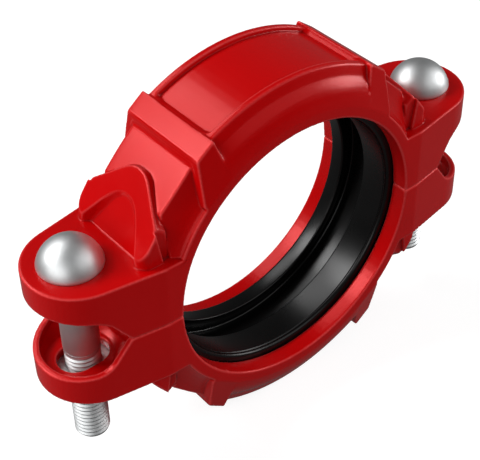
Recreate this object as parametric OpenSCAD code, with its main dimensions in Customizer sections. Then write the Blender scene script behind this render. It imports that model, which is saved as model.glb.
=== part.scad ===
// Flexible coupling for grooved pipe: two cast housings, a gasket, two bolts and two nuts.
// Z is up along the bolts, Y is the pipe axis, and the origin is the centre of the bore.

/* [Ring] */
// Bore radius of the two keys that sit in the pipe grooves
key_r = 55.5; // [50:0.5:58]
// Length of the housing along the pipe
ring_w = 49.2; // [46:0.2:54]
// Thickness of each key along the pipe
key_t = 7.6; // [6:0.2:8.6]
// Outer radius of the flat front face
face_r = 60.5; // [59:0.5:63]
// Radius at the crease above the rounded flank
crease_r = 70; // [68.5:0.5:72]
// Width of the housing at that crease
crease_w = 39.4; // [38:0.2:42]
// Outer radius of the top band
band_r = 74.2; // [73.5:0.1:77]
// Width of the top band
band_w = 36; // [33:0.5:38]
// Radius of the pocket that holds the gasket
pocket_r = 68; // [66:0.5:69]

/* [Top panel] */
// Length of the sunk panel across the crown
panel_len = 71; // [50:1:72]
// Width of the sunk panel
panel_w = 30.2; // [20:0.2:31]
// Depth of the sunk panel
panel_depth = 1.9; // [0.8:0.1:3]
// Corner radius of the sunk panel
panel_corner = 3.5; // [2:0.5:6]
// Slope of the panel's end walls, in degrees from level
panel_slope = 27; // [20:1:60]

/* [Shoulders] */
// Angle that the flat shoulder faces, from the right bolt side
shoulder_angle = 53; // [50:1:56]
// Distance of the shoulder's flat from the bore centre
shoulder_h = 74.4; // [74:0.1:77]
// Length of the shoulder's flat
shoulder_len = 9.1; // [8:0.1:11]
// Width of the shoulder's flat along the pipe
shoulder_w = 40.8; // [38:0.2:43]
// Distance from the bore centre to the shoulder's outer end
shoulder_x = 44; // [43:0.5:46]
// Distance of the side block's outer end from the bore centre
side_x = 56.8; // [55:0.2:59]
// Height of the side block's slope above the shoulder's outer end line
side_top = 56.4; // [55:0.2:58]
// Width of the side block's top
side_w = 33.2; // [30:0.2:36]

/* [Bolt lugs] */
// Distance from one bolt to the other
bolt_span = 170; // [165:0.5:176]
// Height of the flat pad above the parting plane
pad_z = 26; // [24:0.2:30]
// Radius of the rounded lug end
lug_r = 21; // [19.5:0.5:23]
// Distance of the lug end's centre inboard of the bolt
lug_inset = 3.5; // [2:0.5:5]
// Distance of the lug wall's front corner from the bore centre
lug_root_x = 62; // [60:0.5:64]
// Radius of the hollow between the lugs
hollow_r = 22.8; // [21:0.2:24]
// Distance of the hollow's centre outboard of the bolt
hollow_out = 1.2; // [0:0.2:2]
// Depth of the hollow above the parting plane
hollow_z = 18.8; // [16:0.2:20]
// Wall kept between the hollow and the gasket pocket
web_t = 4.6; // [3.5:0.1:6]
// Width of the lip round the hollow's mouth
lug_lip = 2.6; // [2:0.1:4]
// Height of the window between the lugs, above the parting plane
window_z = 12.6; // [10:0.2:15]
// Distance from the bolt to the window's inner end
window_in = 8.6; // [6:0.2:10]
// Length of the oval bolt hole
slot_len = 20.6; // [18:0.2:23]
// Width of the oval bolt hole
slot_w = 14.8; // [14.6:0.1:17]
// Depth of the nut seat sunk in the lower pads
seat_depth = 3; // [1.5:0.5:3.5]
// Radius of the nut seat
seat_r = 14; // [13.5:0.5:16]

/* [Lug hoods] */
// Height of the hood's crest above the parting plane
hood_z = 51.4; // [48:0.2:54]
// Distance of the hood's crest from the bore centre
hood_x = 53.4; // [51:0.2:56]
// Slope of the hood's face, in degrees from level
hood_slope = 54; // [48:1:60]
// Half width of the hood at its corners
hood_w = 21; // [19:0.2:22]
// Distance of the hood's foot from the bore centre
hood_foot_x = 69.2; // [67:0.2:72]
// Distance of the scoop's foot from the bore centre
scoop_foot_x = 66.8; // [65:0.2:68]
// Slope of the scoop's floor, in degrees from level
scoop_slope = 64; // [58:1:70]
// Distance from the hood's crest down to the scoop's edge, along the face
scoop_s = 9.8; // [8:0.2:13]
// Width of the groove between the hood and the side block
groove_w = 2.8; // [1.5:0.1:4]
// Half width of the neck that joins the hood to the side block
neck_w = 19.4; // [19:0.1:20]

/* [Gasket] */
// Inner radius of the gasket lips
lip_r = 52.6; // [51:0.2:55]
// Thickness of the gasket's side walls
gasket_wall = 5; // [4:0.5:6]
// Thickness of the gasket's outer wall
gasket_back = 7.2; // [6:0.2:9]
// Thickness of the lips
lip_t = 3; // [2.5:0.1:4]
// Width of the front lip along the pipe
front_lip_w = 14; // [12:0.2:15]
// Width of the rear lip along the pipe
rear_lip_w = 7.2; // [6.4:0.2:10]
// Clearance between the gasket and its pocket
gasket_clear = 0.3; // [0.2:0.05:0.6]

/* [Bolts and nuts] */
// Diameter of the bolt shank
bolt_d = 14; // [13:0.5:14]
// Radius of the domed head
head_r = 12.1; // [11.5:0.1:13]
// Height of the domed head
head_h = 10.6; // [9:0.1:12]
// Height of the straight rim under the dome
head_rim = 1; // [0.6:0.1:2]
// Length of the bolt below the head
bolt_len = 85.4; // [80:0.2:90]
// Depth of the oval neck below the head
neck_h = 5; // [3:0.2:6.5]
// Length of the threaded end
thread_len = 46; // [40:1:50]
// Depth that the thread cuts below the shank
thread_depth = 0.15; // [0.1:0.05:0.4]
// Chamfer at the bolt's end
end_chamfer = 1.6; // [1:0.1:2]
// Width of the nut across its flats
nut_flats = 22; // [20:0.5:24]
// Height of the nut
nut_h = 11; // [8:0.5:13]
// Running clearance round the thread in the nut
thread_clear = 0.06; // [0.03:0.01:0.09]
// Clearance of the oval neck in its hole
neck_clear = 0.4; // [0.3:0.1:0.7]

/* [Hidden] */
$fn = 96;
half_w = ring_w / 2;
bolt_x = bolt_span / 2;
thread_r = bolt_d / 2 - thread_depth;
nut_hole_r = thread_r + thread_clear;
gasket_half = half_w - key_t - gasket_clear;
reach = 150;
red = [0.80, 0.03, 0.03];
zinc = [0.66, 0.67, 0.68];
rubber = [0.04, 0.04, 0.045];

// Points of an arc about [cx, cy] from angle a0 to a1
function arc(cx, cy, r, a0, a1, n) =
    [for (i = [0:n]) [cx + r * cos(a0 + (a1 - a0) * i / n), cy + r * sin(a0 + (a1 - a0) * i / n)]];

// Points of a curve that leaves p0 towards p1 and arrives at p2
function bow(p0, p1, p2, n) =
    [for (i = [0:n]) let (t = i / n) (1 - t) * (1 - t) * p0 + 2 * t * (1 - t) * p1 + t * t * p2];

// The same points with their second value mirrored, in reverse order
function flip(pts) = [for (i = [len(pts) - 1:-1:0]) [pts[i][0], -pts[i][1]]];

// The same points with their first value mirrored, in reverse order
function flip_x(pts) = [for (i = [len(pts) - 1:-1:0]) [-pts[i][0], pts[i][1]]];

// Turns a shape made round Z so that it lies round the pipe axis, its start towards the right bolt
module round_pipe() {
    rotate([90, 0, 0]) children();
}

// Extrudes an outline drawn in X and Z to both sides of the bore centre
module across(width) {
    rotate([90, 0, 0]) linear_extrude(width, center = true) children();
}

// Section of the crown with its rounded flank and top band
crown_half = concat([[face_r - 3, half_w - 1]],
    bow([face_r - 0.9, half_w - 0.1], [face_r + 5, half_w - 0.6], [crease_r, crease_w / 2], 6),
    [[band_r - 0.4, band_w / 2], [band_r, band_w / 2 - 0.4]]);

// Section of the ring beside the lugs, with a hollow flank
flank_half = concat([[face_r - 3, half_w - 1.2]],
    bow([face_r - 0.9, half_w - 0.3], [face_r + 2.5, side_w / 2 + 2.2], [band_r - 1.5, side_w / 2 - 0.1], 6));

module base_ring() {
    round_pipe() rotate_extrude(angle = 180, $fn = 180)
        polygon([[key_r - 5, -half_w], [face_r, -half_w], [face_r, half_w], [key_r - 5, half_w]]);
}

module crown() {
    turn = 90 - shoulder_angle - 5.1;
    round_pipe() rotate([0, 0, 90 - turn]) rotate_extrude(angle = 2 * turn, $fn = 180)
        polygon(concat(crown_half, flip(crown_half)));
}

module flanks() {
    end_x = side_x + 0.8;
    outline = concat([[0, 0], [end_x, 0], [end_x, side_top + shoulder_x - end_x],
        [shoulder_x - 1, side_top + 1], [shoulder_x - 1, side_top + 8], [0, side_top + 8]]);
    intersection() {
        round_pipe() rotate_extrude(angle = 180, $fn = 180) polygon(concat(flank_half, flip(flank_half)));
        across(ring_w + 2) polygon(concat(outline, flip_x(outline)));
    }
}

// Flat shoulder on the right, with flanks that lean in towards its top
module shoulder() {
    drop = shoulder_h - face_r + 0.4;
    inner_t = 10.8;
    foot = half_w - 0.15;
    low = [[-foot, -3], [-foot, 0], [-shoulder_w / 2, drop], [shoulder_w / 2, drop], [foot, 0], [foot, -3]];
    top_x = shoulder_h * cos(shoulder_angle) - inner_t * sin(shoulder_angle);
    top_z = shoulder_h * sin(shoulder_angle) + inner_t * cos(shoulder_angle);
    top = [[top_x - 9, top_z - 30], [top_x, top_z], [top_x, top_z + 9], [shoulder_x - 0.5, top_z + 9],
        [shoulder_x - 0.5, top_z - 5.5], [shoulder_x + 0.2, top_z - 30]];
    intersection() {
        rotate([0, 90 - shoulder_angle, 0]) translate([-inner_t, 0, face_r - 0.4]) rotate([90, 0, 90])
            linear_extrude(inner_t + shoulder_len) polygon(low);
        across(ring_w + 2) polygon(top);
    }
}

// Outline of one lug seen from above, from the bore centre to the right, drawn in by its inset
module lug_outline(inset = 0) {
    cx = bolt_x - lug_inset;
    side_y = half_w - inset;
    lean = atan((half_w - lug_r) / (cx - lug_root_x));
    side = concat([[0, -side_y], [lug_root_x, -side_y]], arc(cx, 0, lug_r - inset, -90 + lean, 90 - lean, 24),
        [[lug_root_x, side_y], [0, side_y]]);
    polygon(side);
}

// Places an outline on the hood's sloping face: X runs down the slope and Z points out of it
module on_slope(out = 0) {
    translate([hood_x, 0, hood_z]) rotate([0, hood_slope, 0]) translate([0, 0, out]) children();
}

// Outline of the hood's face, an arch with sloping sides over an upright foot
module hood_outline() {
    corner = hood_w - 6.2;
    side = concat(bow([0, 0], [0, 4.4], [3.2, 7.6], 8),
        [[corner, hood_w - 0.6], [corner + 1, hood_w], [40, hood_w]]);
    polygon(concat(side, flip(side)));
}

// Pointed arch that is open at the pad: half width w, from s = top down to s = foot
module scoop_outline(top, foot, w) {
    side = concat(bow([top, 0], [top, w * 0.24], [top + (foot - top) * 0.22, w * 0.42], 6), [[foot, w]]);
    polygon(concat(side, flip(side)));
}

// Space scooped out of the hood's face, between its edge on the face and its steeper floor
module scoop() {
    hull() {
        on_slope(0.4) linear_extrude(0.1) scoop_outline(scoop_s - 0.3, 34, 20.6);
        translate([scoop_foot_x, 0, pad_z]) rotate([0, scoop_slope, 0]) linear_extrude(0.1)
            scoop_outline(-17.2, 4, 16);
    }
}

// Arched hood on the right, with its sloping face towards the bolt head and a scoop in that face
module hood() {
    difference() {
        on_slope(-24) linear_extrude(24) hood_outline();
        scoop();
        linear_extrude(reach) difference() {
            translate([0, -reach]) square([reach, 2 * reach]);
            hood_plan();
        }
        translate([-reach, -reach, -reach]) cube([2 * reach, 2 * reach, reach + pad_z - 1]);
    }
}

// Outline of the hood seen from above: rounded front corners, narrow behind the groove
module hood_plan() {
    round_r = 4.5;
    neck = side_w / 2 - 0.4;
    side = concat(arc(hood_foot_x - round_r, hood_w - round_r + 0.1, round_r, 0, 90, 8),
        [[side_x + 0.4, hood_w + 0.1], [side_x + 0.4, neck], [side_x - 20, neck]]);
    polygon(concat(side, flip(side)));
}

// Groove at both ends of the neck, between the hood and the side block
module hood_groove() {
    back_x = side_x + 0.4;
    front_x = back_x + groove_w;
    difference() {
        across(ring_w + 2) polygon([[back_x, pad_z], [front_x, pad_z], [front_x + 2.6, hood_z - 10],
            [front_x + 2.6, hood_z + 1], [back_x, hood_z + 1]]);
        cube([2 * reach, 2 * neck_w, 2 * reach], center = true);
    }
}

// Panel sunk into the crown, with sloping ends
module panel_cut() {
    end_z = sqrt(band_r * band_r - panel_len * panel_len / 4);
    difference() {
        hull() for (z = [60, band_r + 3]) translate([0, 0, z]) linear_extrude(0.1) {
            half = panel_len / 2 + (z - end_z) / tan(panel_slope) - panel_corner;
            for (sx = [-1, 1]) for (sy = [-1, 1])
                translate([sx * half, sy * (panel_w / 2 - panel_corner)]) circle(r = panel_corner, $fn = 32);
        }
        round_pipe() cylinder(r = band_r - panel_depth, h = ring_w, center = true, $fn = 180);
    }
}

// Space between the lugs, round the right bolt, with a lip kept round its mouth
module lug_hollow() {
    difference() {
        intersection() {
            translate([bolt_x + hollow_out, 0, 0]) sphere(r = hollow_r, $fn = 96);
            translate([0, 0, -hollow_z]) linear_extrude(2 * hollow_z) lug_outline(lug_lip);
        }
        round_pipe() cylinder(r = pocket_r + web_t, h = ring_w, center = true, $fn = 180);
    }
    lug_window();
}

// Opening between the two lugs, seen along the pipe
module lug_window() {
    far_x = bolt_x + lug_r;
    low_x = bolt_x - window_in;
    rise = concat([[low_x, -1], [low_x, 0]],
        bow([low_x + 5.4, window_z - 5.4], [low_x + 8.6, window_z], [bolt_x + 7, window_z + 0.6], 6),
        [[far_x, window_z + 2.6], [far_x, -1]]);
    across(ring_w + 2) polygon(rise);
}

module oval(length, width) {
    side = (length - width) / 2;
    for (s = [-1, 1]) translate([s * side, 0]) circle(d = width, $fn = 48);
    square([2 * side, width], center = true);
}

// One cast half with the bore below it; the nut seats are cut in the half that carries the nuts
module housing(nut_seats = false) {
    difference() {
        union() {
            base_ring();
            crown();
            flanks();
            for (s = [0, 1]) mirror([s, 0, 0]) {
                shoulder();
                linear_extrude(pad_z) lug_outline();
                hood();
            }
        }
        round_pipe() cylinder(r = key_r, h = ring_w + 2, center = true, $fn = 180);
        round_pipe() cylinder(r = pocket_r, h = ring_w - 2 * key_t, center = true, $fn = 180);
        panel_cut();
        for (s = [0, 1]) mirror([s, 0, 0]) {
            hood_groove();
            lug_hollow();
            translate([bolt_x, 0, 0]) linear_extrude(pad_z + 1) oval(slot_len, slot_w);
            if (nut_seats) translate([bolt_x, 0, pad_z - seat_depth])
                cylinder(r = seat_r, h = seat_depth + 1);
        }
        translate([-reach, -reach, -reach]) cube([2 * reach, 2 * reach, reach]);
    }
}

module upper_housing() {
    color(red) housing();
}

module lower_housing() {
    color(red) rotate([0, 180, 0]) housing(nut_seats = true);
}

// One side of the gasket's section, as radius and distance from its middle, with a lip of width lip_w
function gasket_side(back_r, lip_w) =
    let (floor_r = back_r - gasket_back, wall = gasket_half - gasket_wall, tip = gasket_half - lip_w)
    [[floor_r, 0], [floor_r, wall], [lip_r + lip_t + 1.2, wall], [lip_r + lip_t, min(wall, tip + 2) - 0.5],
        [lip_r + lip_t, tip], [lip_r + 0.6, tip], [lip_r, tip + 0.8], [lip_r, gasket_half - 1.4],
        [lip_r + 1.4, gasket_half], [back_r - 1.5, gasket_half], [back_r, gasket_half - 1.5]];

// Ring of rubber with a C section: a back, two walls, a wide lip at the front and a narrow one at the rear
module gasket() {
    back_r = pocket_r - gasket_clear;
    color(rubber) round_pipe() rotate_extrude($fn = 180)
        polygon(concat(gasket_side(back_r, front_lip_w), flip(gasket_side(back_r, rear_lip_w))));
}

// Track bolt with a domed head and an oval neck, standing on the pad
module bolt() {
    end_z = pad_z - bolt_len;
    ball_r = (head_r * head_r + (head_h - head_rim) * (head_h - head_rim)) / (2 * (head_h - head_rim));
    dome = [for (i = [0:14]) let (a = asin(head_r / ball_r) * (1 - i / 14))
        [ball_r * sin(a), pad_z + head_h - ball_r * (1 - cos(a))]];
    thread_z = end_z + thread_len;
    color(zinc) {
        rotate_extrude(angle = 360, $fn = 64) polygon(concat([[0, end_z], [thread_r - end_chamfer, end_z],
            [thread_r, end_z + end_chamfer], [thread_r, thread_z], [bolt_d / 2, thread_z + 0.3],
            [bolt_d / 2, pad_z], [head_r - 0.6, pad_z], [head_r, pad_z + 0.5]], dome));
        translate([0, 0, pad_z - neck_h]) linear_extrude(neck_h + 0.2)
            oval(slot_len - 2 * neck_clear, slot_w - 2 * neck_clear);
    }
}

// Hexagon nut with a rounded top and bottom, seated under the lower pad
module nut() {
    top_z = -pad_z + seat_depth;
    low_z = top_z - nut_h;
    corner_r = nut_flats / 2 / cos(30);
    face_edge = nut_flats / 2 - 0.4;
    turn = -10;
    color(zinc) difference() {
        intersection() {
            translate([0, 0, low_z]) rotate([0, 0, turn]) cylinder(r = corner_r, h = nut_h, $fn = 6);
            rotate_extrude($fn = 64) polygon([[0, low_z], [face_edge, low_z], [corner_r + 1, low_z + 1.9],
                [corner_r + 1, top_z - 1.9], [face_edge, top_z], [0, top_z]]);
        }
        translate([0, 0, low_z - 1]) cylinder(r = nut_hole_r, h = nut_h + 2, $fn = 64);
    }
}

module left_bolt() {
    translate([-bolt_x, 0, 0]) bolt();
}

module right_bolt() {
    translate([bolt_x, 0, 0]) bolt();
}

module left_nut() {
    translate([-bolt_x, 0, 0]) nut();
}

module right_nut() {
    translate([bolt_x, 0, 0]) nut();
}

upper_housing();
lower_housing();
gasket();
left_bolt();
right_bolt();
left_nut();
right_nut();
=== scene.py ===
"""Dresses a flexible pipe coupling: two enamelled castings, a rubber gasket, two bolts and their nuts."""

import math

import bpy
from mathutils import Matrix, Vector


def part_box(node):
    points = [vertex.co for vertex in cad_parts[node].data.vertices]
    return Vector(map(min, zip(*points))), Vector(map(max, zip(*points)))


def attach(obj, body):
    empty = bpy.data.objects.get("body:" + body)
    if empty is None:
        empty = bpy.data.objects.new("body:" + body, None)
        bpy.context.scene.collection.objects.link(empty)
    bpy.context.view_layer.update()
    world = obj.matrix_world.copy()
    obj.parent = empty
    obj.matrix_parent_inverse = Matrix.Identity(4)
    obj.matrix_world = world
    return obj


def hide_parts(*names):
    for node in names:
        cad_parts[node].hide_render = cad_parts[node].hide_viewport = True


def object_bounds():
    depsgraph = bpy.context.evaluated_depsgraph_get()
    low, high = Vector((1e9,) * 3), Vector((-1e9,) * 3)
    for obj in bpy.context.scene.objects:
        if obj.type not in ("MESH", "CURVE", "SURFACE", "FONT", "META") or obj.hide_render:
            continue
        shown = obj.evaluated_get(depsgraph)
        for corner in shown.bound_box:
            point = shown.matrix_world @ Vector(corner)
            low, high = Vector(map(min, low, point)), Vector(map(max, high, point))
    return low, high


bl_info = {
    "name": "Flexible Pipe Coupling",
    "version": (1, 0, 0),
    "blender": (4, 5, 0),
    "location": "View3D > Sidebar > Coupling",
    "description": "Builds the castings, gasket, bolts and nuts of a flexible pipe coupling",
    "category": "Object",
}

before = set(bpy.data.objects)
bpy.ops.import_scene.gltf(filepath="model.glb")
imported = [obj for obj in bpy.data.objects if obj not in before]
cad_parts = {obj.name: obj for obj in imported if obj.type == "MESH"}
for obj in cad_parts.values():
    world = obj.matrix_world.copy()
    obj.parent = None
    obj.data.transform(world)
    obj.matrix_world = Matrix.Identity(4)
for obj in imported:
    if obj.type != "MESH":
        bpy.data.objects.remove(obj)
cad_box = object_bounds()

MM = 0.001
LEFT_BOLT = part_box("left_bolt")
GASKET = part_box("gasket")
BOLT_X = -(LEFT_BOLT[0].x + LEFT_BOLT[1].x) / 2

# Sizes in mm that the nodes' boxes don't give, as the CAD shapes have them
# Height of the pads under the bolt heads, and of the rim below the head's dome
PAD_Z = 26.0
RIM_H = 1.0
# Shank, the oval neck's reach beyond it and the neck's lower end
SHANK_R = 7.0
NECK_STRETCH = 2.9
NECK_LOW = 21.0
# How far the shank and the neck reach up into the head
SUNK = 0.2
# Thread crests and the chamfer at the bolt's end
THREAD_R = 6.85
END_CHAMFER = 1.6
# Gasket lips, side walls and outer wall
LIP_R = 52.6
LIP_T = 3.0
GASKET_WALL = 5.0
GASKET_BACK = 7.2

# Softboxes: direction as angles round Z from +X and above level, then width and height in metres
SOFTBOXES = {
    "main": ((140, 38), (0.45, 0.4)),
    "rear": ((105, 48), (0.5, 0.4)),
    "fill": ((-52, 40), (1.4, 0.8)),
    "side": ((-168, 20), (1.2, 0.7)),
    "right": ((-24, 16), (0.5, 0.35)),
}
SOFTBOX_DISTANCE = 1.1


def linear(code):
    """Linear colour of an sRGB hex code."""
    values = (int(code[i:i + 2], 16) / 255 for i in (1, 3, 5))
    return tuple(v / 12.92 if v <= 0.04045 else ((v + 0.055) / 1.055) ** 2.4 for v in values)


def pick(piece):
    """Leaves one object selected and active."""
    bpy.ops.object.select_all(action="DESELECT")
    piece.select_set(True)
    bpy.context.view_layer.objects.active = piece


def edit(piece, select="SELECT"):
    """Opens a piece's mesh for editing, with all of it selected or none of it."""
    pick(piece)
    bpy.ops.object.mode_set(mode="EDIT")
    bpy.ops.mesh.select_all(action=select)


def tidy(piece):
    """Merges doubles, turns the faces outwards and leaves edit mode."""
    bpy.ops.mesh.select_all(action="SELECT")
    bpy.ops.mesh.remove_doubles(threshold=0.002 * MM)
    bpy.ops.mesh.normals_make_consistent(inside=False)
    bpy.ops.object.mode_set(mode="OBJECT")


def modify(piece, kind, **settings):
    """Adds a modifier with its settings and applies it."""
    pick(piece)
    modifier = piece.modifiers.new(kind.title(), kind)
    for key, value in settings.items():
        setattr(modifier, key, value)
    bpy.ops.object.modifier_apply(modifier=modifier.name)


def merged_copy(node, name):
    """A new object with a CAD node's shape, its triangles joined into one closed mesh."""
    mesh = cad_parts[node].data.copy()
    mesh.materials.clear()
    piece = bpy.data.objects.new(name, mesh)
    mesh.name = name
    bpy.context.collection.objects.link(piece)
    edit(piece)
    bpy.ops.mesh.customdata_custom_splitnormals_clear()
    bpy.ops.mesh.remove_doubles(threshold=0.001 * MM)
    bpy.ops.object.mode_set(mode="OBJECT")
    return piece


def outline(name, points):
    """A closed loop of vertices through points given as (x, z) in mm, standing on the XZ plane."""
    bpy.ops.object.select_all(action="DESELECT")
    bpy.ops.mesh.primitive_circle_add(vertices=len(points), radius=1)
    piece = bpy.context.object
    piece.name = piece.data.name = name
    for vertex, (x, z) in zip(piece.data.vertices, points):
        vertex.co = (x * MM, 0, z * MM)
    return piece


def open_on_axis(piece):
    """Removes the edge of an outline that lies on the turning axis."""
    edit(piece, "DESELECT")
    bpy.ops.mesh.select_mode(type="EDGE")
    bpy.ops.object.mode_set(mode="OBJECT")
    verts = piece.data.vertices
    for edge in piece.data.edges:
        edge.select = all(abs(verts[i].co.x) < 1e-7 for i in edge.vertices)
    bpy.ops.object.mode_set(mode="EDIT")
    bpy.ops.mesh.delete(type="EDGE")
    bpy.ops.mesh.select_mode(type="VERT")
    bpy.ops.object.mode_set(mode="OBJECT")


def lathe(piece, steps, axis="Z"):
    """Turns an outline a full circle round an axis through the origin."""
    modify(piece, "SCREW", axis=axis, angle=2 * math.pi, steps=steps, render_steps=steps,
           use_merge_vertices=True, merge_threshold=0.002 * MM)
    edit(piece)
    tidy(piece)


def arc(cx, cz, r, start, end, count):
    """Points of an arc in mm, with angles in degrees."""
    turn = [math.radians(start + (end - start) * i / count) for i in range(count + 1)]
    return [(cx + r * math.cos(a), cz + r * math.sin(a)) for a in turn]


def place(piece, body, material, node):
    """Gives a piece its material and its body, and hides the CAD node that it stands for."""
    piece.data.materials.clear()
    piece.data.materials.append(material)
    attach(piece, body)
    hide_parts(node)


def blank(name):
    """An empty material with its output and shader."""
    material = bpy.data.materials.new(name)
    material.use_nodes = True
    tree = material.node_tree
    tree.nodes.clear()
    shader = add(tree, "ShaderNodeBsdfPrincipled")
    add(tree, "ShaderNodeOutputMaterial", links={"Surface": shader.outputs[0]})
    return material, tree, shader


def add(tree, kind, values=None, links=None, **settings):
    """Adds a node with its settings, the values on its sockets and the links into them."""
    node = tree.nodes.new(kind)
    for key, value in settings.items():
        setattr(node, key, value)
    for key, value in (values or {}).items():
        node.inputs[key].default_value = value
    for key, source in (links or {}).items():
        tree.links.new(source, node.inputs[key])
    return node


# Stoving enamel sprayed on sand-cast iron: a deep even red with a soft gloss. The spray leaves faint
# orange peel over the cast skin. Painted shade darkens the corners and a painted highlight lightens the sharp
# edges.
def sprayed_enamel(look):
    material, tree, shader = blank("sprayed_enamel_on_cast_iron")
    place_of = add(tree, "ShaderNodeTexCoord").outputs["Object"]
    # Shade drifts over about 25 mm
    drift = add(tree, "ShaderNodeTexNoise", {"Scale": 1 / (25 * MM), "Detail": 2.0}, {"Vector": place_of})
    drift_mix = add(tree, "ShaderNodeMix", {"A": (*look.enamel, 1), "B": (*look.enamel_deep, 1)},
                    data_type="RGBA")
    level = add(tree, "ShaderNodeMapRange",
                {"From Min": 0.35, "From Max": 0.75, "To Min": 0.0, "To Max": 0.35},
                {"Value": drift.outputs["Fac"]})
    tree.links.new(level.outputs["Result"], drift_mix.inputs["Factor"])
    # Pointiness is 0.5 on the flat, less in a corner and more on an edge
    point = add(tree, "ShaderNodeNewGeometry").outputs["Pointiness"]
    # Painted shade: the enamel is darkened in corners and creases, where less light falls
    corner_shade_mask = add(tree, "ShaderNodeMapRange",
                 {"From Min": 0.492, "From Max": 0.455, "To Min": 0.0, "To Max": 0.85}, {"Value": point})
    corner_shaded = add(tree, "ShaderNodeMix", {"B": (*look.enamel_painted_shade, 1)},
               {"Factor": corner_shade_mask.outputs["Result"], "A": drift_mix.outputs["Result"]}, data_type="RGBA")
    # Painted highlight: the enamel is lightened on sharp edges, as if their fillets caught the lamps
    edge_highlight_mask = add(tree, "ShaderNodeMapRange",
               {"From Min": 0.508, "From Max": 0.54, "To Min": 0.0, "To Max": 0.75}, {"Value": point})
    pale = add(tree, "ShaderNodeMix", {"B": (*look.enamel_painted_highlight, 1)},
               {"Factor": edge_highlight_mask.outputs["Result"], "A": corner_shaded.outputs["Result"]}, data_type="RGBA")
    tree.links.new(pale.outputs["Result"], shader.inputs["Base Color"])
    # Orange peel of a sprayed coat is about 1.5 mm across, over sand-cast skin of about 6 mm
    peel = add(tree, "ShaderNodeTexNoise", {"Scale": 1 / (1.5 * MM), "Detail": 1.0}, {"Vector": place_of})
    skin = add(tree, "ShaderNodeTexNoise", {"Scale": 1 / (6 * MM), "Detail": 2.0}, {"Vector": place_of})
    skin_bump = add(tree, "ShaderNodeBump", {"Strength": 1.0, "Distance": 0.03 * MM},
                    {"Height": skin.outputs["Fac"]})
    peel_bump = add(tree, "ShaderNodeBump", {"Strength": 1.0, "Distance": 0.006 * MM},
                    {"Height": peel.outputs["Fac"], "Normal": skin_bump.outputs["Normal"]})
    tree.links.new(peel_bump.outputs["Normal"], shader.inputs["Normal"])
    gloss = add(tree, "ShaderNodeMapRange", {"To Min": 0.21, "To Max": 0.27}, {"Value": skin.outputs["Fac"]})
    tree.links.new(gloss.outputs["Result"], shader.inputs["Roughness"])
    shader.inputs["IOR"].default_value = 1.5
    shader.inputs["Specular IOR Level"].default_value = 0.55
    shader.inputs["Specular Tint"].default_value = (*look.enamel_gloss, 1)
    return material


# Steel, cold headed and thread rolled, then zinc plated: a mid grey metal, even and slightly hazy,
# with a fine crystal mottle that breaks up its highlights.
def zinc_plate(look):
    material, tree, shader = blank("zinc_plated_steel")
    place_of = add(tree, "ShaderNodeTexCoord").outputs["Object"]
    # Plating crystals are far below a tenth of a millimetre: drawn 0.8 mm so that they show
    grain = add(tree, "ShaderNodeTexNoise", {"Scale": 1 / (0.8 * MM), "Detail": 2.0}, {"Vector": place_of})
    cloud = add(tree, "ShaderNodeTexNoise", {"Scale": 1 / (7 * MM), "Detail": 2.0}, {"Vector": place_of})
    tone = add(tree, "ShaderNodeMix", {"A": (*look.zinc, 1), "B": (*look.zinc_dull, 1)},
               {"Factor": cloud.outputs["Fac"]}, data_type="RGBA")
    tree.links.new(tone.outputs["Result"], shader.inputs["Base Color"])
    haze = add(tree, "ShaderNodeMapRange", {"To Min": 0.44, "To Max": 0.54}, {"Value": grain.outputs["Fac"]})
    tree.links.new(haze.outputs["Result"], shader.inputs["Roughness"])
    bump = add(tree, "ShaderNodeBump", {"Strength": 1.0, "Distance": 0.004 * MM},
               {"Height": grain.outputs["Fac"]})
    tree.links.new(bump.outputs["Normal"], shader.inputs["Normal"])
    shader.inputs["Metallic"].default_value = 1.0
    return material


# EPDM rubber, compression moulded in a polished tool: near black, with a soft sheen and a faint
# grey bloom that dulls it in patches.
def moulded_epdm(look):
    material, tree, shader = blank("moulded_epdm_rubber")
    place_of = add(tree, "ShaderNodeTexCoord").outputs["Object"]
    bloom = add(tree, "ShaderNodeTexNoise", {"Scale": 1 / (14 * MM), "Detail": 3.0}, {"Vector": place_of})
    tone = add(tree, "ShaderNodeMix", {"A": (*look.rubber, 1), "B": (*look.rubber_bloom, 1)},
               {"Factor": bloom.outputs["Fac"]}, data_type="RGBA")
    tree.links.new(tone.outputs["Result"], shader.inputs["Base Color"])
    sheen = add(tree, "ShaderNodeMapRange", {"To Min": 0.24, "To Max": 0.32}, {"Value": bloom.outputs["Fac"]})
    tree.links.new(sheen.outputs["Result"], shader.inputs["Roughness"])
    # Fine flow texture of the moulded skin, 0.9 mm across
    skin = add(tree, "ShaderNodeTexNoise", {"Scale": 1 / (0.9 * MM), "Detail": 2.0}, {"Vector": place_of})
    bump = add(tree, "ShaderNodeBump", {"Strength": 1.0, "Distance": 0.004 * MM},
               {"Height": skin.outputs["Fac"]})
    tree.links.new(bump.outputs["Normal"], shader.inputs["Normal"])
    shader.inputs["IOR"].default_value = 1.52
    shader.inputs["Specular IOR Level"].default_value = 0.25
    return material


# Matt painted board: pale and even, seen white, and still holding the object's soft shadow.
def matt_board(look):
    material, tree, shader = blank("matt_painted_board")
    tone = add(tree, "ShaderNodeMix", {"A": (0, 0, 0, 1), "B": (*look.board, 1)},
               {"Factor": seen_level(tree, 1, 1, look.board_mirrored)}, data_type="RGBA")
    tree.links.new(tone.outputs["Result"], shader.inputs["Base Color"])
    shader.inputs["Roughness"].default_value = 0.9
    shader.inputs["Specular IOR Level"].default_value = 0.1
    shader.inputs["Emission Color"].default_value = (1, 1, 1, 1)
    lift = seen_level(tree, 0, look.board_lift, look.board_lift * look.board_mirrored)
    tree.links.new(lift, shader.inputs["Emission Strength"])
    return material


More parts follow.
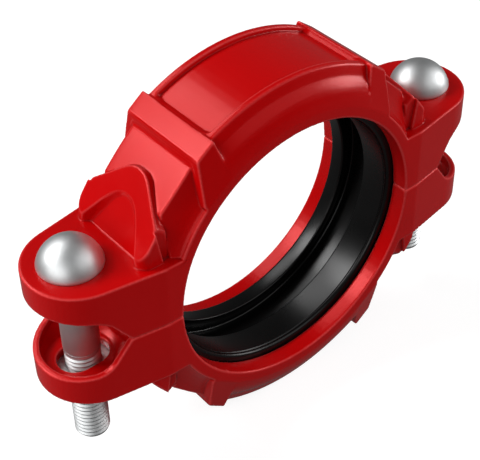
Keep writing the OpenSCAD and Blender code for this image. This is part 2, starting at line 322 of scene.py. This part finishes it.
def seen_level(tree, unseen, camera, mirrored):
    """A level that differs for the camera, for reflections and refractions, and for all other light."""
    path = add(tree, "ShaderNodeLightPath")
    either = add(tree, "ShaderNodeMath", operation="MAXIMUM",
                 links={0: path.outputs["Is Glossy Ray"], 1: path.outputs["Is Transmission Ray"]})
    level = add(tree, "ShaderNodeMapRange", {"To Min": unseen, "To Max": mirrored},
                {"Value": either.outputs[0]})
    level = add(tree, "ShaderNodeMapRange", {"To Max": camera},
                {"Value": path.outputs["Is Camera Ray"], "To Min": level.outputs["Result"]})
    return level.outputs["Result"]


class CastingLook(bpy.types.PropertyGroup):
    edge_passes: bpy.props.IntProperty(
        name="Edge passes", description="Smoothing passes that give the cast edges their radius",
        default=16, min=0, max=60)
    kept: bpy.props.FloatProperty(
        name="Kept faces", description="Share of the fine mesh's faces that is kept",
        default=0.28, min=0.1, max=1)
    enamel: bpy.props.FloatVectorProperty(
        name="Enamel", description="Colour of the enamel on open faces",
        default=linear("#BE0204"), subtype="COLOR", min=0, max=1)
    enamel_deep: bpy.props.FloatVectorProperty(
        name="Deeper enamel", description="Colour where the coat is a little thicker",
        default=linear("#B20204"), subtype="COLOR", min=0, max=1)
    # Painted shade for the corners and creases
    enamel_painted_shade: bpy.props.FloatVectorProperty(
        name="Painted corner shade", description="Painted shade darkening the corners",
        default=linear("#700204"), subtype="COLOR", min=0, max=1)
    # Painted highlight for the sharp edges
    enamel_painted_highlight: bpy.props.FloatVectorProperty(
        name="Painted edge highlight", description="Painted highlight lightening the sharp edges",
        default=linear("#E24A4A"), subtype="COLOR", min=0, max=1)
    enamel_gloss: bpy.props.FloatVectorProperty(
        name="Gloss tint", description="Tint that the enamel's pigment gives its highlights",
        default=linear("#FF6E6E"), subtype="COLOR", min=0, max=1)


class GasketLook(bpy.types.PropertyGroup):
    steps: bpy.props.IntProperty(
        name="Steps", description="Steps round the gasket", default=240, min=60, max=360)
    groove: bpy.props.FloatProperty(
        name="Groove depth", description="Depth of the fine groove by the front lip's outer edge",
        default=0.3 * MM, min=0, max=0.6 * MM, unit="LENGTH", precision=5)
    front_lip: bpy.props.FloatProperty(
        name="Front lip", description="Width of the front lip along the pipe",
        default=14 * MM, min=10 * MM, max=15 * MM, unit="LENGTH", precision=4)
    rear_lip: bpy.props.FloatProperty(
        name="Rear lip", description="Width of the rear lip along the pipe",
        default=7.2 * MM, min=6 * MM, max=10 * MM, unit="LENGTH", precision=4)
    rubber: bpy.props.FloatVectorProperty(
        name="Rubber", description="Colour of the rubber", default=linear("#030303"),
        subtype="COLOR", min=0, max=1)
    rubber_bloom: bpy.props.FloatVectorProperty(
        name="Bloom", description="Colour of the rubber where its bloom shows", default=linear("#090909"),
        subtype="COLOR", min=0, max=1)


class FastenerLook(bpy.types.PropertyGroup):
    pitch: bpy.props.FloatProperty(
        name="Thread pitch", description="Distance from one thread to the next",
        default=2 * MM, min=1 * MM, max=3 * MM, unit="LENGTH", precision=5)
    thread_depth: bpy.props.FloatProperty(
        name="Thread depth", description="Depth of the thread from crest to root",
        default=0.7 * MM, min=0.4 * MM, max=1.5 * MM, unit="LENGTH", precision=5)
    thread_len: bpy.props.FloatProperty(
        name="Threaded length", description="Length of the threaded end of the bolt",
        default=46 * MM, min=30 * MM, max=55 * MM, unit="LENGTH", precision=4)
    zinc: bpy.props.FloatVectorProperty(
        name="Zinc", description="Colour of the zinc plate", default=linear("#D8DADA"),
        subtype="COLOR", min=0, max=1)
    zinc_dull: bpy.props.FloatVectorProperty(
        name="Dull zinc", description="Colour of the zinc plate where it is duller",
        default=linear("#C4C6C7"), subtype="COLOR", min=0, max=1)


class StageLook(bpy.types.PropertyGroup):
    board: bpy.props.FloatVectorProperty(
        name="Board", description="Colour of the board under the object", default=linear("#959595"),
        subtype="COLOR", min=0, max=1)
    board_lift: bpy.props.FloatProperty(
        name="Board lift",
        description="How much of the board's white is its own, so that its shadow stays soft",
        default=0.84, min=0, max=1)
    board_mirrored: bpy.props.FloatProperty(
        name="Board in reflections", description="How strongly gloss and metal show the board",
        default=0.12, min=0, max=1)
    main_power: bpy.props.FloatProperty(
        name="Main softbox",
        description="Power of the softbox at the back left, in watts", default=7.4, min=0)
    rear_power: bpy.props.FloatProperty(
        name="Rear softbox",
        description="Power of the softbox high at the back, in watts", default=3.2, min=0)
    fill_power: bpy.props.FloatProperty(
        name="Fill softbox",
        description="Power of the wide softbox at the front right, in watts", default=4.2, min=0)
    side_power: bpy.props.FloatProperty(
        name="Side softbox",
        description="Power of the low softbox at the left, in watts", default=6.0, min=0)
    right_power: bpy.props.FloatProperty(
        name="Right softbox",
        description="Power of the low softbox at the right, in watts", default=4.6, min=0)
    room: bpy.props.FloatProperty(
        name="Room light", description="Level of the even light from the room", default=0.05, min=0, max=1)
    room_seen: bpy.props.FloatProperty(
        name="Room in reflections", description="Level of the pale room that gloss and metal show",
        default=0.10, min=0, max=1)


class COUPLING_OT_castings(bpy.types.Operator):
    """Rounds over both cast housings and gives them their enamel"""
    bl_idname = "coupling.castings"
    bl_label = "Castings"

    def execute(self, context):
        look = context.scene.coupling_castings
        enamel = sprayed_enamel(look)
        for name, node, body in (("upper_casting", "upper_housing", "upper"),
                                 ("lower_casting", "lower_housing", "lower")):
            piece = merged_copy(node, name)
            # Even faces let the smoothing round every edge alike, and the spare ones then go
            modify(piece, "REMESH", mode="SHARP", octree_depth=9, scale=0.99, sharpness=1.0)
            modify(piece, "SMOOTH", factor=0.5, iterations=look.edge_passes)
            modify(piece, "DECIMATE", ratio=look.kept)
            modify(piece, "SMOOTH", factor=0.5, iterations=1)
            pick(piece)
            bpy.ops.object.shade_smooth()
            place(piece, body, enamel, node)
        return {"FINISHED"}


class COUPLING_OT_gasket(bpy.types.Operator):
    """Turns the gasket's section round the pipe axis: a wide front lip, a channel and a narrow rear lip"""
    bl_idname = "coupling.gasket"
    bl_label = "Gasket"

    def execute(self, context):
        look = context.scene.coupling_gasket
        front = self.side(look.front_lip / MM, look.groove / MM)
        rear = self.side(look.rear_lip / MM, 0)
        section = [(r, -y) for r, y in front] + [(r, y) for r, y in reversed(rear)]
        piece = outline("gasket_ring", section)
        # The section is laid on the XY plane, with Y along the pipe
        for vertex in piece.data.vertices:
            vertex.co = (vertex.co.x, vertex.co.z, 0)
        lathe(piece, look.steps, "Y")
        bpy.ops.object.shade_smooth_by_angle(angle=math.radians(35))
        place(piece, "upper", moulded_epdm(look), "gasket")
        return {"FINISHED"}

    def side(self, lip_w, groove):
        """One side of the section, from the channel's floor round the lip to the gasket's back, in mm."""
        back = GASKET[1].x / MM
        side = GASKET[1].y / MM
        tip = side - lip_w
        floor = back - GASKET_BACK
        wall = side - GASKET_WALL
        under_lip = LIP_R + LIP_T
        points = [(floor, 0), *arc(floor - 1, wall - 1, 1, 0, 90, 3)]
        points += [(under_lip + 1.2, wall), (under_lip, min(wall, tip + 2) - 0.5)]
        points += arc(under_lip - 0.4, tip + 0.4, 0.4, 0, -90, 3)
        points += arc(LIP_R + 0.8, tip + 0.8, 0.8, -90, -180, 5)
        if groove:
            y = side - 1.9
            points += [(LIP_R, y - 0.3), (LIP_R + groove, y), (LIP_R, y + 0.3)]
        points += arc(LIP_R + 1.4, side - 1.4, 1.4, 180, 90, 4)
        points += arc(back - 1.5, side - 1.5, 1.5, 90, 0, 4)
        return points


class COUPLING_OT_bolts(bpy.types.Operator):
    """Makes one track bolt with its domed head, oval neck and rolled thread, and copies it to both lugs"""
    bl_idname = "coupling.bolts"
    bl_label = "Bolts"

    def execute(self, context):
        look = context.scene.coupling_fasteners
        low, high = (LEFT_BOLT[0].z / MM, LEFT_BOLT[1].z / MM)
        top = low + look.thread_len / MM
        head = self.head(high)
        parts = (self.shank(top), self.neck(), self.thread(look, low, top))
        pick(head)
        for part in parts:
            part.select_set(True)
        bpy.ops.object.join()
        bpy.ops.object.shade_smooth_by_angle(angle=math.radians(32))
        zinc = zinc_plate(look)
        for name, x in (("left_track_bolt", -BOLT_X), ("right_track_bolt", BOLT_X)):
            piece = bpy.data.objects.new(name, head.data.copy())
            piece.data.name = name
            context.collection.objects.link(piece)
            piece.data.transform(Matrix.Translation((x, 0, 0)))
            place(piece, "upper", zinc, name.replace("_track", ""))
        bpy.data.objects.remove(head)
        return {"FINISHED"}

    def head(self, high):
        """Domed head on a low rim, from the pad up to z = high."""
        head_r = (LEFT_BOLT[1].x - LEFT_BOLT[0].x) / 2 / MM
        rise = high - PAD_Z - RIM_H
        ball = (head_r ** 2 + rise ** 2) / (2 * rise)
        edge = math.degrees(math.asin(head_r / ball))
        dome = arc(0, high - ball, ball, 90 - edge, 90, 24)
        piece = outline("bolt_head", [
            (0, PAD_Z), (head_r - 0.5, PAD_Z), (head_r - 0.1, PAD_Z + 0.15), (head_r, PAD_Z + 0.5),
            (head_r, PAD_Z + RIM_H - 0.1), *dome[1:-1], (0, high)])
        open_on_axis(piece)
        lathe(piece, 96)
        return piece

    def shank(self, top):
        """Plain shank, from the thread's run-out at z = top up into the head."""
        piece = outline("bolt_shank", [
            (0, top - 1), (SHANK_R - 0.6, top - 1), (SHANK_R - 0.05, top), (SHANK_R, top + 0.3),
            (SHANK_R, PAD_Z + SUNK), (0, PAD_Z + SUNK)])
        open_on_axis(piece)
        lathe(piece, 64)
        return piece

    def neck(self):
        """Oval neck under the head, which keeps the bolt from turning in its hole."""
        high = PAD_Z + SUNK
        bpy.ops.object.select_all(action="DESELECT")
        bpy.ops.mesh.primitive_cylinder_add(
            vertices=64, radius=SHANK_R * MM, depth=(high - NECK_LOW) * MM,
            location=(0, 0, (high + NECK_LOW) / 2 * MM))
        piece = bpy.context.object
        bpy.ops.object.transform_apply(location=True)
        for vertex in piece.data.vertices:
            if abs(vertex.co.x) > 1e-6:
                vertex.co.x += math.copysign(NECK_STRETCH * MM, vertex.co.x)
        return piece

    def thread(self, look, low, top):
        """Rolled thread from z = low up to z = top, chamfered at the end and run out into the shank."""
        pitch = look.pitch / MM
        crest = THREAD_R
        root = crest - look.thread_depth / MM
        turns = math.ceil((top - low) / pitch) + 3
        start = low - pitch
        # One thread's profile, with heights as shares of the pitch
        tooth = [(root, 0), (root, 0.12), (crest - 0.1, 0.42), (crest, 0.47), (crest, 0.6),
                 (crest - 0.1, 0.65), (root, 0.95), (root, 1)]
        piece = outline("bolt_thread", [(r, start + z * pitch) for r, z in tooth])
        edit(piece, "DESELECT")
        bpy.ops.mesh.select_mode(type="EDGE")
        bpy.ops.object.mode_set(mode="OBJECT")
        # The loop's closing edge would make an inner tube, so it goes
        for edge in piece.data.edges:
            edge.select = set(edge.vertices) == {0, len(tooth) - 1}
        bpy.ops.object.mode_set(mode="EDIT")
        bpy.ops.mesh.delete(type="EDGE_FACE")
        bpy.ops.mesh.select_mode(type="VERT")
        bpy.ops.object.mode_set(mode="OBJECT")
        modify(piece, "SCREW", axis="Z", angle=2 * math.pi, screw_offset=look.pitch, iterations=turns,
               steps=40, render_steps=40, use_merge_vertices=False)
        edit(piece)
        bpy.ops.mesh.remove_doubles(threshold=0.002 * MM)
        bpy.ops.mesh.select_all(action="SELECT")
        bpy.ops.mesh.bisect(plane_co=(0, 0, low * MM), plane_no=(0, 0, 1), use_fill=True, clear_inner=True)
        bpy.ops.mesh.select_all(action="SELECT")
        bpy.ops.mesh.bisect(plane_co=(0, 0, (top - 0.5) * MM), plane_no=(0, 0, 1), use_fill=True,
                            clear_outer=True)
        tidy(piece)
        for vertex in piece.data.vertices:
            x, y, z = vertex.co
            r = math.hypot(x, y)
            if r < 1e-6:
                continue
            end = (crest - END_CHAMFER + z / MM - low) * MM
            run = min(1, max(0, (z / MM - top + 3) / 2.4))
            new = min(r + (crest * MM - r) * run, end)
            vertex.co = (x * new / r, y * new / r, z)
        return piece


class COUPLING_OT_nuts(bpy.types.Operator):
    """Softens the edges of both hexagon nuts and gives them their zinc"""
    bl_idname = "coupling.nuts"
    bl_label = "Nuts"

    def execute(self, context):
        zinc = zinc_plate(context.scene.coupling_fasteners)
        for side in ("left", "right"):
            piece = merged_copy(f"{side}_nut", f"{side}_hex_nut")
            edit(piece)
            bpy.ops.mesh.dissolve_limited(angle_limit=math.radians(1))
            bpy.ops.object.mode_set(mode="OBJECT")
            modify(piece, "BEVEL", width=0.25 * MM, segments=2, limit_method="ANGLE",
                   angle_limit=math.radians(25))
            pick(piece)
            bpy.ops.object.shade_smooth_by_angle(angle=math.radians(30))
            place(piece, f"{side}_nut", zinc, f"{side}_nut")
        return {"FINISHED"}


class COUPLING_OT_stage(bpy.types.Operator):
    """Sets the floor, the softboxes, the room light and the camera"""
    bl_idname = "coupling.stage"
    bl_label = "Stage"

    def execute(self, context):
        look = context.scene.coupling_stage
        bpy.ops.object.select_all(action="DESELECT")
        bpy.ops.mesh.primitive_plane_add(size=12, location=(0, 0, cad_box[0].z - 0.1 * MM))
        floor = context.object
        floor.name = "floor"
        floor.data.materials.append(matt_board(look))
        for name, (direction, size) in SOFTBOXES.items():
            self.softbox(f"{name}_softbox", direction, size, getattr(look, f"{name}_power"))
        self.room(context.scene, look)
        self.camera(context)
        context.scene.view_settings.view_transform = "Standard"
        return {"FINISHED"}

    def camera(self, context):
        """The camera, fitted to places on the ring, lugs and bolts in the photograph."""
        camera = bpy.data.objects.new("camera", bpy.data.cameras.new("camera"))
        context.collection.objects.link(camera)
        camera.location = (-0.23769, -0.28822, 0.31147)
        camera.rotation_euler = [math.radians(a) for a in (49.66445, 0.98352, -39.14604)]
        camera.data.sensor_fit = "HORIZONTAL"
        camera.data.sensor_width = 36
        camera.data.lens = 93.30
        camera.data.clip_start = 0.01
        context.scene.camera = camera

    def softbox(self, name, direction, size, power):
        """A rectangular lamp that faces the object from one of the directions above."""
        turn, rise = (math.radians(a) for a in direction)
        lamp = bpy.data.objects.new(name, bpy.data.lights.new(name, "AREA"))
        bpy.context.collection.objects.link(lamp)
        lamp.data.shape = "RECTANGLE"
        lamp.data.size, lamp.data.size_y = size
        lamp.data.energy = power
        level = SOFTBOX_DISTANCE * math.cos(rise)
        lamp.location = (level * math.cos(turn), level * math.sin(turn), SOFTBOX_DISTANCE * math.sin(rise))
        lamp.rotation_euler = lamp.location.to_track_quat("Z", "Y").to_euler()

    def room(self, scene, look):
        """Even room light, which the camera sees as white and reflections see as a dim room."""
        world = bpy.data.worlds.new("room")
        scene.world = world
        world.use_nodes = True
        tree = world.node_tree
        tree.nodes.clear()
        light = add(tree, "ShaderNodeBackground", {"Color": (1, 1, 1, 1)},
                    {"Strength": seen_level(tree, look.room, 1, look.room_seen)})
        add(tree, "ShaderNodeOutputWorld", links={"Surface": light.outputs[0]})


class COUPLING_PT_panel(bpy.types.Panel):
    """Lists the coupling's pieces, in the order they are made"""
    bl_idname = "COUPLING_PT_panel"
    bl_label = "Flexible Pipe Coupling"
    bl_space_type = "VIEW_3D"
    bl_region_type = "UI"
    bl_category = "Coupling"

    def draw(self, context):
        scene = context.scene
        for label, look, operators in (
                ("Castings", scene.coupling_castings, ("castings",)),
                ("Gasket", scene.coupling_gasket, ("gasket",)),
                ("Fasteners", scene.coupling_fasteners, ("bolts", "nuts")),
                ("Stage", scene.coupling_stage, ("stage",))):
            box = self.layout.box()
            box.label(text=label)
            for key in look.bl_rna.properties.keys():
                if key not in ("rna_type", "name"):
                    box.prop(look, key)
            for name in operators:
                box.operator(f"coupling.{name}")


CLASSES = (CastingLook, GasketLook, FastenerLook, StageLook, COUPLING_OT_castings, COUPLING_OT_gasket,
           COUPLING_OT_bolts, COUPLING_OT_nuts, COUPLING_OT_stage, COUPLING_PT_panel)


def register():
    for cls in CLASSES:
        bpy.utils.register_class(cls)
    bpy.types.Scene.coupling_castings = bpy.props.PointerProperty(type=CastingLook)
    bpy.types.Scene.coupling_gasket = bpy.props.PointerProperty(type=GasketLook)
    bpy.types.Scene.coupling_fasteners = bpy.props.PointerProperty(type=FastenerLook)
    bpy.types.Scene.coupling_stage = bpy.props.PointerProperty(type=StageLook)


def unregister():
    del bpy.types.Scene.coupling_stage
    del bpy.types.Scene.coupling_fasteners
    del bpy.types.Scene.coupling_gasket
    del bpy.types.Scene.coupling_castings
    for cls in reversed(CLASSES):
        bpy.utils.unregister_class(cls)


def main():
    register()
    bpy.ops.coupling.castings()
    bpy.ops.coupling.gasket()
    bpy.ops.coupling.bolts()
    bpy.ops.coupling.nuts()
    bpy.ops.coupling.stage()


if __name__ == "__main__":
    main()
